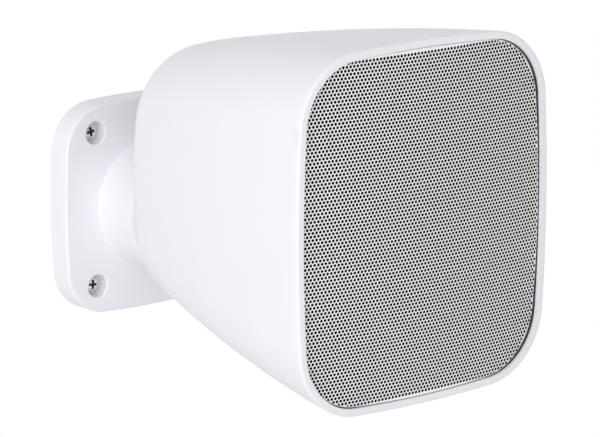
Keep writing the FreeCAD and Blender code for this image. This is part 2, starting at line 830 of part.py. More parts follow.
trim_front_y = flange_front_y - trim_thickness
nodes = {
    "wall_plate": wall_plate(),
    "wall_screws": wall_screws(),
    "socket_ring": socket_ring(),
    "ring_screws": placed_at(flush_screw(ring_screw), ring_screw_places(), ring_y),
    "socket_liner": socket_liner(),
    "ball_stud": ball_stud(),
    "pivot_washer": ring(stud_flange_radius, spigot_radius + pivot_fit, back_y + pivot_fit,
                         back_y + pivot_washer_thickness),
    "stud_washer": ring(stud_washer_radius, stud_screw.radius + screw_pass,
                        pivot_boss_y - pivot_play - stud_washer_thickness, pivot_boss_y - pivot_play),
    "stud_screw": placed(pan_screw(stud_screw), 0, pivot_boss_y - pivot_play - stud_washer_thickness, 0),
    "cabinet_shell": cabinet_shell(),
    "baffle_seal": baffle_seal(),
    "front_baffle": front_baffle(),
    "baffle_screws": placed_at(pan_screw(baffle_screw), baffle_screw_places(), baffle_front_y, joint_drop),
    "front_grille": front_grille(),
    "grille_screen": grille_screen(),
    "driver_seal": driver_ring(trim_outer, mouth_radius + baffle_gap, flange_back_y, baffle_front_y),
    "driver_frame": driver_frame(),
    "driver_trim": driver_ring(trim_outer, trim_inner, trim_front_y, flange_front_y),
    "driver_screws": placed_at(pan_screw(driver_screw), driver_screw_places(), trim_front_y, joint_drop),
    "surround": surround(),
    "spider": spider(),
    "front_pole_plate": ring(pole_plate_radius, winding_outer + air_gap, base_y, magnet_y, joint_drop),
    "magnet": ring(magnet_outer, magnet_inner, magnet_y, yoke_y, joint_drop),
    "yoke": yoke(),
    "driver_tags": driver_tags(),
    "input_socket": input_socket(),
    "input_pins": input_pins(),
    "input_screws": input_screws(),
    "cone": cone(),
    "dust_cap": dust_cap(),
    "voice_coil": voice_coil(),
}

os.makedirs("parts", exist_ok=True)
for name, shape in nodes.items():
    shape.exportStep("parts/" + name + ".step")
    print(name, len(shape.Solids), shape.isValid(), round(shape.Volume / 1000, 2))
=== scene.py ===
import json
import math

import bmesh
import bpy
from mathutils import Matrix, Vector

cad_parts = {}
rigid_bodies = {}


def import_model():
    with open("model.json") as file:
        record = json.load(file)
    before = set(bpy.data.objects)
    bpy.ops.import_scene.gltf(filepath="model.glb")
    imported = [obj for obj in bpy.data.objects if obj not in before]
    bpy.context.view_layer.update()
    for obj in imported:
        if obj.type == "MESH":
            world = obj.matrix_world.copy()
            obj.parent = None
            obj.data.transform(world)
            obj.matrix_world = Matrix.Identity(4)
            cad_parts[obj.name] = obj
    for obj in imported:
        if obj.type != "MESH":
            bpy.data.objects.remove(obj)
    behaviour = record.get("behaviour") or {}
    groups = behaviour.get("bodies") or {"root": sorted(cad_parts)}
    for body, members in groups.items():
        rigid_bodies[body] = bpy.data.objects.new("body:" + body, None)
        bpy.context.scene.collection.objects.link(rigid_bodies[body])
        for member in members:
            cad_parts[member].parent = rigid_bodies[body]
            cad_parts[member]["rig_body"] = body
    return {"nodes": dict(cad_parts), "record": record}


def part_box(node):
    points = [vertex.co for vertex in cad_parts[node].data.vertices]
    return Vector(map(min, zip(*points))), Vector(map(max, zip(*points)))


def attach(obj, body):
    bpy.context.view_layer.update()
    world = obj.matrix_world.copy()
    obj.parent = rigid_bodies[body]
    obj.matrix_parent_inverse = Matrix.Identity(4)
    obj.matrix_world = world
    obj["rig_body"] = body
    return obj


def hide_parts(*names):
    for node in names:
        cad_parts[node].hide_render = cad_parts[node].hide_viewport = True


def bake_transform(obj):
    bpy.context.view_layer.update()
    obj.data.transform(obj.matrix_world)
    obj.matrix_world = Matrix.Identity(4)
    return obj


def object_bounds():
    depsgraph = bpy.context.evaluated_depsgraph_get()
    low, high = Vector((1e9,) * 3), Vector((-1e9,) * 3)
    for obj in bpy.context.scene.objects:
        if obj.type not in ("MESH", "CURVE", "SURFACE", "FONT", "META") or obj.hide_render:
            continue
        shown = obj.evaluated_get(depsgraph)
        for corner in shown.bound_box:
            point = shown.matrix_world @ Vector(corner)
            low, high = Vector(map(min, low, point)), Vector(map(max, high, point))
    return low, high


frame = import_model()
cad_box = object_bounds()
nodes = frame["nodes"]

# Places read from the frame, in metres
cabinet_low, cabinet_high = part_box("cabinet_shell")
grille_low, grille_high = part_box("front_grille")
axis_z = (cabinet_low.z + cabinet_high.z) / 2
crown_y = grille_low.y
rim_end_y = grille_high.y
front_width = cabinet_high.x - cabinet_low.x
front_height = cabinet_high.z - cabinet_low.z

# Front outline: bows of its sides and radius of its corners
side_bow = 0.0036
top_bow = 0.0030
corner_radius = 0.028
side_steps = 36
corner_steps = 24
top_steps = 32

# Grille: sheet, folded edge and perforation
sheet_inset = (front_width - (grille_high.x - grille_low.x)) / 2
sheet_thickness = 0.001
fold_radius = 0.00035
fold_steps = 4
hole_pitch = 0.0016
hole_row_step = 0.001329
hole_radius = 0.00063
hole_sides = 8
hole_land = 0.00005
band_rows = 4
dome_across = 0.500
dome_up = 1.060
probe_height = 0.01
merge_reach = 0.000001

# Strip in the baffle's finish in the gap around the grille: the gap that it stands in, its play there and its depth
# behind the lip
grille_gap = 0.0003
strip_play = 0.00003
strip_drop = 0.0014

# Screws: head height, shank radius and pitch of the thread, by node
screw_sizes = {
    "wall_screws": (0.0024, 0.0020, 0.0016),
    "ring_screws": (0.0016, 0.0014, 0.0010),
    "stud_screw": (0.0035, 0.0029, 0.0010),
    "baffle_screws": (0.0022, 0.0015, 0.0012),
    "driver_screws": (0.0020, 0.0014, 0.0011),
    "input_screws": (0.0017, 0.0012, 0.0010),
}
flush_screws = ("ring_screws",)
backward_screws = ("input_screws",)
screw_facets = 32
screw_seed = 7
screw_spin = 0.15

# Screw heads: steps and straight edge of a pan head, land and edge of a countersunk one, as shares of its size
pan_steps = 6
pan_edge = 0.3
flush_land = 0.96
flush_edge = 0.08

# Cross recess: depth as a share of the head, reach and half width of its arms at the mouth and at the floor
recess_mark = "recess"
recess_depth = 0.6
recess_mouth = (0.76, 0.2)
recess_floor = (0.34, 0.12)

# Points and threads: length and radius of the point by the shank's radius, then the thread's ridge by its pitch
point_length = 2
point_radius = 0.2
thread_steps = 20
thread_sides = 3
thread_ridge = 0.3
thread_sink = 0.15
thread_stop = 2.2

# Soft rings of the driver: inner and outer radius of the bend, and number of sectors
soft_bends = {"surround": (0.0367, 0.0400, 24), "spider": (0.0147, 0.0235, 12)}

# Camera: fitted to the perforation in the photograph
camera_turn = math.radians(39.033)
camera_rise = math.radians(13.342)
camera_distance = 1.2813
camera_aside = -0.04737
camera_lift = 0.00204
focal_pixels = 3492
image_width = 600
sensor_width = 36.0
camera_near = 0.05
camera_far = 50

# Studio: places and watts of the soft boxes, even light, floor
lamp_size = 1.2
left_place, left_watts = (-1.5, -0.5, 0.55), 9.0
front_place, front_watts = (-1.0, -1.45, 0.1), 8.3
even_light = 0.58
floor_drop = 0.25
floor_size = 6.0
floor_tone = (0.9, 0.9, 0.9, 1)
fade_start = 0.15
fade_end = 0.45
pure_white = (1, 1, 1, 1)

# Finishes: grain sizes in metres, swing of the gloss, range of the noise, weave and flecks
mottle_size = 0.02
gloss_size = 0.004
gloss_swing = 0.05
noise_low, noise_high = 0.3, 0.7
wave_scale = math.pi / 10
weave_roughness = 0.9
weave_wander = 0.4
fleck_detail = 6.0
fleck_low, fleck_high = 0.12, 0.4
winding_half = 0.0045

# Sockets of the mix node for colours
first_colour, second_colour, mixed_colour = 6, 7, 2

# Smooth copies: reach of the weld and the angle that stays sharp
weld_reach = 0.000002
crease = math.radians(28)


def add(tree, kind, feeds=None, **settings):
    """New node with its settings; each feed is a value or another node's output."""
    made = tree.nodes.new(kind)
    for key, value in settings.items():
        setattr(made, key, value)
    for key, value in (feeds or {}).items():
        if isinstance(value, bpy.types.NodeSocket):
            tree.links.new(value, made.inputs[key])
        else:
            made.inputs[key].default_value = value
    return made


def surface(name, roughness, metallic=0.0, shine=0.5):
    """Material with a plain shader; returns it with its tree, shader and object coordinates."""
    material = bpy.data.materials.new(name)
    material.use_nodes = True
    tree = material.node_tree
    shader = tree.nodes["Principled BSDF"]
    shader.inputs["Roughness"].default_value = roughness
    shader.inputs["Metallic"].default_value = metallic
    shader.inputs["Specular IOR Level"].default_value = shine
    place = add(tree, "ShaderNodeTexCoord").outputs["Object"]
    return material, tree, shader, place


def grain(tree, place, size, detail=3.0, stretch=(1, 1, 1)):
    """Noise of a given grain size in metres, drawn out along an axis where stretch is small."""
    mapped = add(tree, "ShaderNodeMapping", {"Vector": place, "Scale": stretch})
    noise = add(tree, "ShaderNodeTexNoise", {"Vector": mapped.outputs["Vector"], "Scale": 1 / size, "Detail": detail})
    return noise.outputs["Fac"]


def between(tree, factor, low, high):
    """Value that runs from low to high over the middle of a noise."""
    feeds = {"Value": factor, "From Min": noise_low, "From Max": noise_high, "To Min": low, "To Max": high}
    return add(tree, "ShaderNodeMapRange", feeds).outputs["Result"]


def two_tones(tree, factor, first, second):
    """Colour between two tones."""
    mix = add(tree, "ShaderNodeMix", {"Factor": factor}, data_type="RGBA")
    mix.inputs[first_colour].default_value = (*first, 1)
    mix.inputs[second_colour].default_value = (*second, 1)
    return mix.outputs[mixed_colour]


def relief(tree, shader, height, depth):
    """Bump of a given depth in metres."""
    bump = add(tree, "ShaderNodeBump", {"Height": height, "Distance": depth, "Strength": 1.0})
    tree.links.new(bump.outputs["Normal"], shader.inputs["Normal"])


def coated(name, first, second, roughness, peel, depth, metallic=0.0, shine=0.5):
    """Moulded, painted or plated finish: faint mottling, uneven gloss and a fine skin."""
    material, tree, shader, place = surface(name, roughness, metallic, shine)
    mottle = between(tree, grain(tree, place, mottle_size), 0, 1)
    tree.links.new(two_tones(tree, mottle, first, second), shader.inputs["Base Color"])
    gloss = between(tree, grain(tree, place, gloss_size), roughness - gloss_swing, roughness + gloss_swing)
    tree.links.new(gloss, shader.inputs["Roughness"])
    relief(tree, shader, grain(tree, place, peel), depth)
    return material


def woven(name, first, second, thread, depth, shine=0.5):
    """Plain weave: two sets of threads across x and z."""
    material, tree, shader, place = surface(name, weave_roughness, 0.0, shine)
    waves = []
    for direction in ("X", "Z"):
        feeds = {"Vector": place, "Scale": wave_scale / thread, "Distortion": weave_wander}
        wave = add(tree, "ShaderNodeTexWave", feeds, bands_direction=direction)
        waves.append(wave.outputs["Fac"])
    height = add(tree, "ShaderNodeMath", {0: waves[0], 1: waves[1]}, operation="MAXIMUM").outputs[0]
    tree.links.new(two_tones(tree, height, first, second), shader.inputs["Base Color"])
    relief(tree, shader, height, depth)
    return material


def fibrous(name, first, second, roughness, fibre):
    """Pressed pulp or fibre: drawn-out flecks that cross each other."""
    material, tree, shader, place = surface(name, roughness)
    along = grain(tree, place, fibre, fleck_detail, (1, 1, 0.2))
    across = grain(tree, place, fibre, fleck_detail, (0.2, 1, 1))
    flecks = add(tree, "ShaderNodeMath", {0: along, 1: across}, operation="MULTIPLY").outputs[0]
    feeds = {"Value": flecks, "From Min": fleck_low, "From Max": fleck_high}
    tone = add(tree, "ShaderNodeMapRange", feeds).outputs["Result"]
    tree.links.new(two_tones(tree, tone, first, second), shader.inputs["Base Color"])
    relief(tree, shader, flecks, fibre / 4)
    return material


def cellular(name, first, second, cell, roughness):
    """Foam or ground ceramic: small cells, darker between them."""
    material, tree, shader, place = surface(name, roughness)
    cells = add(tree, "ShaderNodeTexVoronoi", {"Vector": place, "Scale": 1 / cell}).outputs["Distance"]
    tree.links.new(two_tones(tree, cells, first, second), shader.inputs["Base Color"])
    relief(tree, shader, cells, cell / 5)
    return material


def wound_copper(name, former, first, second, wire, winding_y):
    """Enamelled wire in even turns behind winding_y, on a plain former in front of it."""
    material, tree, shader, place = surface(name, 0.35)
    feeds = {"Vector": place, "Scale": wave_scale / wire}
    turns = add(tree, "ShaderNodeTexWave", feeds, bands_direction="Y").outputs["Fac"]
    copper = two_tones(tree, turns, first, second)
    depth = add(tree, "ShaderNodeSeparateXYZ", {0: place}).outputs["Y"]
    behind = add(tree, "ShaderNodeMath", {0: depth, 1: winding_y}, operation="GREATER_THAN").outputs[0]
    mix = add(tree, "ShaderNodeMix", {"Factor": behind}, data_type="RGBA")
    mix.inputs[first_colour].default_value = (*former, 1)
    tree.links.new(copper, mix.inputs[second_colour])
    tree.links.new(mix.outputs[mixed_colour], shader.inputs["Base Color"])
    relief(tree, shader, turns, wire / 4)
    return material


pole_low, pole_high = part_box("front_pole_plate")
white = (0.890, 0.873, 0.924)
finishes = {
    "white_plastic": coated("moulded_white", white, (0.878, 0.860, 0.911), 0.42, 0.0004, 0.00002),
    "white_sheet": coated("powder_coat", (0.955, 0.955, 0.96), (0.94, 0.94, 0.945), 0.4, 0.0006, 0.00001),
    "white_cast": coated("painted_casting", white, (0.87, 0.853, 0.903), 0.38, 0.0012, 0.00004),
    "black_plastic": coated("moulded_black", (0.03, 0.03, 0.031), (0.042, 0.042, 0.044), 0.55, 0.0005, 0.00004),
    "liner_plastic": coated("natural_nylon", (0.75, 0.74, 0.70), (0.70, 0.69, 0.64), 0.4, 0.0008, 0.00001),
    "zinc_steel": coated("zinc_plate", (0.86, 0.86, 0.87), (0.80, 0.81, 0.83), 0.26, 0.0005, 0.000004, 1.0),
    "black_steel": coated("black_coat", (0.028, 0.028, 0.028), (0.04, 0.04, 0.04), 0.45, 0.0007, 0.00003),
    "ferrite": cellular("ground_ferrite", (0.07, 0.07, 0.075), (0.11, 0.11, 0.115), 0.0007, 0.6),
    "foam": cellular("closed_cell_foam", (0.02, 0.02, 0.02), (0.06, 0.06, 0.06), 0.0006, 0.95),
    "screen_cloth": woven("black_screen", (0.003, 0.003, 0.003), (0.008, 0.008, 0.008), 0.0003, 0.0001, 0.1),
    "fibre": fibrous("red_fibre", (0.22, 0.08, 0.05), (0.36, 0.15, 0.09), 0.7, 0.0006),
    "roll_rubber": coated("roll_rubber", (0.028, 0.028, 0.028), (0.04, 0.04, 0.04), 0.6, 0.0007, 0.00003),
    "spider_cloth": woven("dipped_cloth", (0.50, 0.34, 0.12), (0.78, 0.60, 0.28), 0.0004, 0.0001),
    "cone_paper": fibrous("paper_pulp", (0.035, 0.035, 0.035), (0.09, 0.09, 0.09), 0.85, 0.0008),
    "coil_copper": wound_copper("wound_copper", (0.55, 0.42, 0.25), (0.40, 0.15, 0.06), (0.78, 0.40, 0.20), 0.0002,
                                (pole_low.y + pole_high.y) / 2 - winding_half),
    "tinned_brass": coated("tin_plate", (0.76, 0.73, 0.64), (0.68, 0.66, 0.60), 0.35, 0.0005, 0.00001, 1.0),
    "header_plastic": coated("header_black", (0.022, 0.022, 0.023), (0.034, 0.034, 0.035), 0.48, 0.0005, 0.00003),
}
# Walls of the grille's holes: near-black painted shade, so that the holes read dark right through the sheet
hole_wall_painted_shade = coated("hole_wall_painted_shade", (0.006, 0.006, 0.006), (0.012, 0.012, 0.012), 0.8, 0.0004, 0.00001, 0.0, 0.1)
# Cross recess of the screw heads: dark painted shade inside the recess
recess_painted_shade = coated("recess_painted_shade", (0.09, 0.085, 0.08), (0.13, 0.12, 0.11), 0.5, 0.0004, 0.00001, 0.6, 0.3)
slot_of = {part["node"]: part["material_slot"] for part in frame["record"]["subparts"]}


def linked(name, mesh):
    """New object in the scene for a mesh."""
    made = bpy.data.objects.new(name, mesh)
    bpy.context.scene.collection.objects.link(made)
    return made


def stands_for(piece, node, dressed=False):
    """Makes a piece ride and finish as the CAD node that it replaces."""
    if not dressed:
        piece.data.materials.clear()
        piece.data.materials.append(finishes[slot_of[node]])
    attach(piece, nodes[node]["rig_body"])
    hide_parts(node)


def grown(name, base, tree, sizes):
    """Piece that a node tree makes from a base mesh, turned into a plain mesh."""
    piece = linked(name, base)
    modifier = piece.modifiers.new("grow", "NODES")
    modifier.node_group = tree
    for socket in tree.interface.items_tree:
        if socket.in_out == "INPUT" and socket.name in sizes:
            modifier[socket.identifier] = sizes[socket.name]
    depsgraph = bpy.context.evaluated_depsgraph_get()
    mesh = bpy.data.meshes.new_from_object(piece.evaluated_get(depsgraph))
    if mesh.materials and mesh.materials[0] is None:
        mesh.materials.pop(index=0)
    piece.modifiers.remove(modifier)
    piece.data = mesh
    return piece


def tree_with(name, inputs):
    """Geometry tree with named inputs, given as socket kinds; returns it with its two ends."""
    tree = bpy.data.node_groups.new(name, "GeometryNodeTree")
    tree.interface.new_socket(name="Geometry", in_out="INPUT", socket_type="NodeSocketGeometry")
    for label, kind in inputs.items():
        tree.interface.new_socket(name=label, in_out="INPUT", socket_type="NodeSocket" + kind)
    tree.interface.new_socket(name="Geometry", in_out="OUTPUT", socket_type="NodeSocketGeometry")
    return tree, add(tree, "NodeGroupInput").outputs, add(tree, "NodeGroupOutput")


def maths(tree, operation, first, second=0.0):
    """Output of one arithmetic node."""
    return add(tree, "ShaderNodeMath", {0: first, 1: second}, operation=operation).outputs[0]


def joined(tree, *parts):
    """Output of a join of several geometries."""
    join = add(tree, "GeometryNodeJoinGeometry")
    for part in parts:
        tree.links.new(part, join.inputs[0])
    return join.outputs[0]


def close_tree(tree, made, material, end, part=None, part_material=None):
    """Ends a tree in real geometry with its material, and another one on some of its faces."""
    dressed = add(tree, "GeometryNodeRealizeInstances", {"Geometry": made}).outputs[0]
    dressed = add(tree, "GeometryNodeSetMaterial", {"Geometry": dressed, "Material": material}).outputs[0]
    if part:
        dressed = add(tree, "GeometryNodeSetMaterial", {"Geometry": dressed, "Selection": part,
                                                        "Material": part_material}).outputs[0]
    tree.links.new(dressed, end.inputs[0])


# Front outline and grille

def bow_arc(half_chord, bow):
    """Radius of an arc that falls by bow over half its chord."""
    return (half_chord ** 2 + bow ** 2) / (2 * bow)


def quarter_outline(inset):
    """Upper right quarter of the front outline, moved inward: half a side, a corner and half the top."""
    side_radius = bow_arc(front_height / 2, side_bow)
    top_radius = bow_arc(front_width / 2, top_bow)
    side_centre = front_width / 2 - side_radius
    top_centre = front_height / 2 - top_radius
    to_side = side_radius - corner_radius
    to_top = top_radius - corner_radius
    apart = math.hypot(side_centre, top_centre)
    along = (to_side ** 2 - to_top ** 2 + apart ** 2) / (2 * apart)
    aside = math.sqrt(to_side ** 2 - along ** 2)
    corner_x = side_centre - (along * side_centre + aside * top_centre) / apart
    corner_z = (along * top_centre - aside * side_centre) / apart
    side_turn = math.atan2(corner_z, corner_x - side_centre)
    top_turn = math.atan2(corner_z - top_centre, corner_x)
    arcs = (
        (side_centre, 0, side_radius, 0, side_turn, side_steps // 2),
        (corner_x, corner_z, corner_radius, side_turn, top_turn, corner_steps),
        (0, top_centre, top_radius, top_turn, math.pi / 2, top_steps // 2),
    )
    points = []
    for x, z, radius, start, stop, steps in arcs:
        for step in range(steps):
            turn = start + (stop - start) * step / steps
            points.append((x + (radius - inset) * math.cos(turn), z + (radius - inset) * math.sin(turn)))
    points.append((0, front_height / 2 - inset))
    return points


def half_outline(inset):
    """Outline above the middle, from its right end over the top to its left end."""
    right = quarter_outline(inset)
    return right + [(-x, z) for x, z in reversed(right[:-1])]


def whole_outline(inset):
    """Closed outline, each point once."""
    upper = half_outline(inset)
    return upper + [(x, -z) for x, z in reversed(upper[1:-1])]


def dome_fall(x, z):
    """How far the grille's front lies behind its crown."""
    return x ** 2 / (2 * dome_across) + z ** 2 / (2 * dome_up)


def perforated_tree():
    """Tree for a sheet inside a closed line, with round holes where the base mesh has a face, domed and thick."""
    tree, sizes, end = tree_with("perforated_sheet", {
        "Columns": "Int", "Rows": "Int", "Hole Pitch": "Float", "Row Step": "Float", "Hole Radius": "Float",
        "Band Rows": "Int", "Hole Sides": "Int", "Sheet Thickness": "Float", "Dome Across": "Float", "Dome Up": "Float",
        "Crown Y": "Float", "Axis Z": "Float"})
    base = sizes["Geometry"]
    width = maths(tree, "MULTIPLY", maths(tree, "SUBTRACT", sizes["Columns"], 1.0), sizes["Hole Pitch"])
    height = maths(tree, "MULTIPLY", maths(tree, "SUBTRACT", sizes["Rows"], 1.0), sizes["Row Step"])
    lattice = add(tree, "GeometryNodeMeshGrid", {"Size X": width, "Size Y": height, "Vertices X": sizes["Columns"],
                                                 "Vertices Y": sizes["Rows"]}).outputs["Mesh"]
    place = add(tree, "GeometryNodeInputPosition").outputs[0]
    up = add(tree, "ShaderNodeSeparateXYZ", {0: place}).outputs["Y"]
    row = maths(tree, "ROUND", maths(tree, "DIVIDE", up, sizes["Row Step"]))
    even = maths(tree, "FLOORED_MODULO", maths(tree, "ADD", row, 1.0), 2.0)
    shift = maths(tree, "MULTIPLY", even, maths(tree, "DIVIDE", sizes["Hole Pitch"], 2.0))
    offset = add(tree, "ShaderNodeCombineXYZ", {"X": shift}).outputs[0]
    staggered = add(tree, "GeometryNodeSetPosition", {"Geometry": lattice, "Offset": offset}).outputs[0]
    above = add(tree, "ShaderNodeVectorMath", {0: place, 1: (0, 0, probe_height)}, operation="ADD").outputs[0]
    probe = {"Target Geometry": base, "Source Position": above, "Ray Direction": (0, 0, -1),
             "Ray Length": 2 * probe_height}
    hit = add(tree, "GeometryNodeRaycast", probe).outputs["Is Hit"]
    outside = add(tree, "FunctionNodeBooleanMath", {0: hit}, operation="NOT").outputs[0]
    centres = add(tree, "GeometryNodeDeleteGeometry", {"Geometry": staggered, "Selection": outside},
                  domain="POINT").outputs[0]
    circle = add(tree, "GeometryNodeCurvePrimitiveCircle", {"Resolution": sizes["Hole Sides"],
                                                           "Radius": sizes["Hole Radius"]}).outputs[0]
    holes = add(tree, "GeometryNodeInstanceOnPoints", {"Points": centres, "Instance": circle}).outputs[0]
    holes = add(tree, "GeometryNodeRealizeInstances", {"Geometry": holes}).outputs[0]
    inside = add(tree, "GeometryNodeProximity", {0: base}, target_element="FACES").outputs["Position"]
    holes = add(tree, "GeometryNodeSetPosition", {"Geometry": holes, "Position": inside}).outputs[0]
    faces = add(tree, "GeometryNodeInputMeshEdgeNeighbors").outputs[0]
    bare = add(tree, "FunctionNodeCompare", {2: faces, 3: 0}, data_type="INT", operation="EQUAL").outputs[0]
    border = add(tree, "GeometryNodeMeshToCurve", {"Mesh": base, "Selection": bare}).outputs[0]
    band_height = maths(tree, "MULTIPLY", sizes["Row Step"], sizes["Band Rows"])
    from_seam = maths(tree, "ADD", up, maths(tree, "DIVIDE", sizes["Row Step"], 2.0))
    band = maths(tree, "FLOOR", maths(tree, "DIVIDE", from_seam, band_height))
    flat = add(tree, "GeometryNodeFillCurve", {"Curve": joined(tree, border, holes), "Group ID": band},
               mode="TRIANGLES").outputs[0]
    flat = add(tree, "GeometryNodeMergeByDistance", {"Geometry": flat, "Distance": merge_reach}).outputs[0]
    front = add(tree, "GeometryNodeExtrudeMesh", {"Mesh": flat, "Offset Scale": sizes["Sheet Thickness"],
                                                  "Individual": False}, mode="FACES").outputs
    back = add(tree, "GeometryNodeFlipFaces", {"Mesh": flat}).outputs[0]
    sheet = add(tree, "GeometryNodeMergeByDistance", {"Geometry": joined(tree, front["Mesh"], back),
                                                      "Distance": merge_reach}).outputs[0]
    spot = add(tree, "ShaderNodeSeparateXYZ", {0: place}).outputs
    twice_across = maths(tree, "MULTIPLY", sizes["Dome Across"], 2.0)
    twice_up = maths(tree, "MULTIPLY", sizes["Dome Up"], 2.0)
    fall_x = maths(tree, "DIVIDE", maths(tree, "POWER", spot["X"], 2.0), twice_across)
    fall_z = maths(tree, "DIVIDE", maths(tree, "POWER", spot["Y"], 2.0), twice_up)
    behind = maths(tree, "SUBTRACT", maths(tree, "ADD", fall_x, fall_z), spot["Z"])
    behind = maths(tree, "ADD", maths(tree, "ADD", behind, sizes["Sheet Thickness"]), sizes["Crown Y"])
    domed = add(tree, "ShaderNodeCombineXYZ", {"X": spot["X"], "Y": behind,
                                               "Z": maths(tree, "ADD", spot["Y"], sizes["Axis Z"])}).outputs[0]
    sheet = add(tree, "GeometryNodeSetPosition", {"Geometry": sheet, "Position": domed}).outputs[0]
    # The side faces of the holes and of the border get the near-black painted shade
    close_tree(tree, sheet, finishes["white_sheet"], end, front["Side"], hole_wall_painted_shade)
    return tree


def band_outline(inset, low, high):
    """Stretch of the front outline between two levels, as a closed line."""
    points = whole_outline(inset)
    line = []
    for (x, z), (next_x, next_z) in zip(points, points[1:] + points[:1]):
        if low <= z <= high:
            line.append((x, z))
        crossed = [level for level in (low, high) if (z - level) * (next_z - level) < 0]
        for level in sorted(crossed, reverse=next_z < z):
            line.append((x + (next_x - x) * (level - z) / (next_z - z), level))
    return line


def stepped(line, step):
    """A closed line with its level stretches cut into short steps."""
    made = []
    for (x, z), (next_x, next_z) in zip(line, line[1:] + line[:1]):
        steps = max(round(abs(next_x - x) / step), 1) if z == next_z else 1
        made += [(x + (next_x - x) * index / steps, z) for index in range(steps)]
    return made


def half_sheet_base(side):
    """Borders of the bands of half the sheet as bare edges, and the fields of their holes as faces."""
    shape = bmesh.new()
    band_height = band_rows * hole_row_step
    for step in range(math.ceil(front_height / 2 / band_height) + 1):
        band = step if side > 0 else -step - 1
        low = band * band_height - hole_row_step / 2
        high = low + band_height
        border = band_outline(sheet_inset + fold_radius, low, high)
        if not border:
            continue
        verts = [shape.verts.new((x, z, 0)) for x, z in stepped(border, hole_pitch)]
        for first, second in zip(verts, verts[1:] + verts[:1]):
            shape.edges.new((first, second))
        field = band_outline(sheet_inset + fold_radius + hole_land, low, high)
        if field:
            shape.faces.new([shape.verts.new((x, z, 0)) for x, z in field])
    mesh = bpy.data.meshes.new("half_sheet")
    shape.to_mesh(mesh)
    shape.free()
    return mesh


def perforated_sheet():
    """The grille's perforated sheet, in an upper and a lower half that meet between two rows of holes."""
    tree = perforated_tree()
    sizes = {
        "Columns": 2 * round(front_width / 2 / hole_pitch) + 1,
        "Rows": 2 * round(front_height / 2 / hole_row_step) + 1,
        "Hole Pitch": hole_pitch, "Row Step": hole_row_step, "Hole Radius": hole_radius, "Hole Sides": hole_sides,
        "Band Rows": band_rows, "Sheet Thickness": sheet_thickness, "Dome Across": dome_across, "Dome Up": dome_up,
        "Crown Y": crown_y, "Axis Z": axis_z,
    }
    for name, side in (("grille_upper_half", 1), ("grille_lower_half", -1)):
        stands_for(grown(name, half_sheet_base(side), tree, sizes), "front_grille", True)


def ring_mesh(name, loops):
    """Closed tube of quads through loops of points, the last joined to the first."""
    shape = bmesh.new()
    rings = [[shape.verts.new(point) for point in loop] for loop in loops]
    for ring, after in zip(rings, rings[1:] + rings[:1]):
        for index in range(len(ring)):
            shape.faces.new((ring[index - 1], ring[index], after[index], after[index - 1]))
    bmesh.ops.recalc_face_normals(shape, faces=shape.faces)
    mesh = bpy.data.meshes.new(name)
    shape.to_mesh(mesh)
    shape.free()
    return mesh


def folded_rim():
    """The grille's edge: rounded fold from the sheet into a skirt that stands on the baffle."""
    inner = whole_outline(sheet_inset + fold_radius)
    falls = [dome_fall(x, z) for x, z in inner]
    loops = []
    for step in range(fold_steps + 1):
        turn = math.pi / 2 * step / fold_steps
        line = whole_outline(sheet_inset + fold_radius * (1 - math.sin(turn)))
        back = fold_radius * (1 - math.cos(turn))
        loops.append([(x, crown_y + fall + back, axis_z + z) for (x, z), fall in zip(line, falls)])
    for inset in (sheet_inset, sheet_inset + sheet_thickness):
        loops.append([(x, rim_end_y, axis_z + z) for x, z in whole_outline(inset)])
    line = whole_outline(sheet_inset + sheet_thickness)
    loops.append([(x, crown_y + fall + sheet_thickness, axis_z + z) for (x, z), fall in zip(line, falls)])
    loops.append([(x, crown_y + fall + sheet_thickness, axis_z + z) for (x, z), fall in zip(inner, falls)])
    piece = linked("grille_folded_rim", ring_mesh("folded_rim", loops))
    crease_smooth(piece.data)
    stands_for(piece, "front_grille")


def baffle_rim():
    """Thin strip in the baffle's finish, standing in the gap around the grille, which shows as a dark line where the
    grille lies deep.
    """
    front_y = cabinet_low.y + strip_drop
    outer = whole_outline(sheet_inset - grille_gap + strip_play)
    inner = whole_outline(sheet_inset - strip_play)
    loops = []
    for line, y in ((outer, rim_end_y), (outer, front_y), (inner, front_y), (inner, rim_end_y)):
        loops.append([(x, y, axis_z + z) for x, z in line])
    piece = linked("baffle_rim", ring_mesh("baffle_rim", loops))
    crease_smooth(piece.data)
    slot = slot_of["front_baffle"]
    piece.data.materials.append(finishes[slot])
    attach(piece, nodes["front_baffle"]["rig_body"])


def crease_smooth(mesh):
    """Shades a mesh smooth, with its sharp edges kept."""
    shape = bmesh.new()
    shape.from_mesh(mesh)
    bmesh.ops.remove_doubles(shape, verts=shape.verts, dist=weld_reach)
    for face in shape.faces:
        face.smooth = True
    for edge in shape.edges:
        edge.smooth = len(edge.link_faces) == 2 and edge.calc_face_angle(0) < crease
    shape.to_mesh(mesh)
    shape.free()


# Screws

def islands(node):
    """Boxes of the separate solids of a CAD node."""
    shape = bmesh.new()
    shape.from_mesh(nodes[node].data)
    bmesh.ops.remove_doubles(shape, verts=shape.verts, dist=weld_reach)
    left = set(shape.verts)
    boxes = []
    while left:
        found = []
        ready = [left.pop()]
        while ready:
            vert = ready.pop()
            found.append(vert.co.copy())
            for edge in vert.link_edges:
                other = edge.other_vert(vert)
                if other in left:
                    left.remove(other)
                    ready.append(other)
        low = Vector([min(point[axis] for point in found) for axis in range(3)])
        high = Vector([max(point[axis] for point in found) for axis in range(3)])
        boxes.append((low, high))
    shape.free()
    return sorted(boxes, key=lambda box: (round(box[0].z, 4), round(box[0].x, 4)))


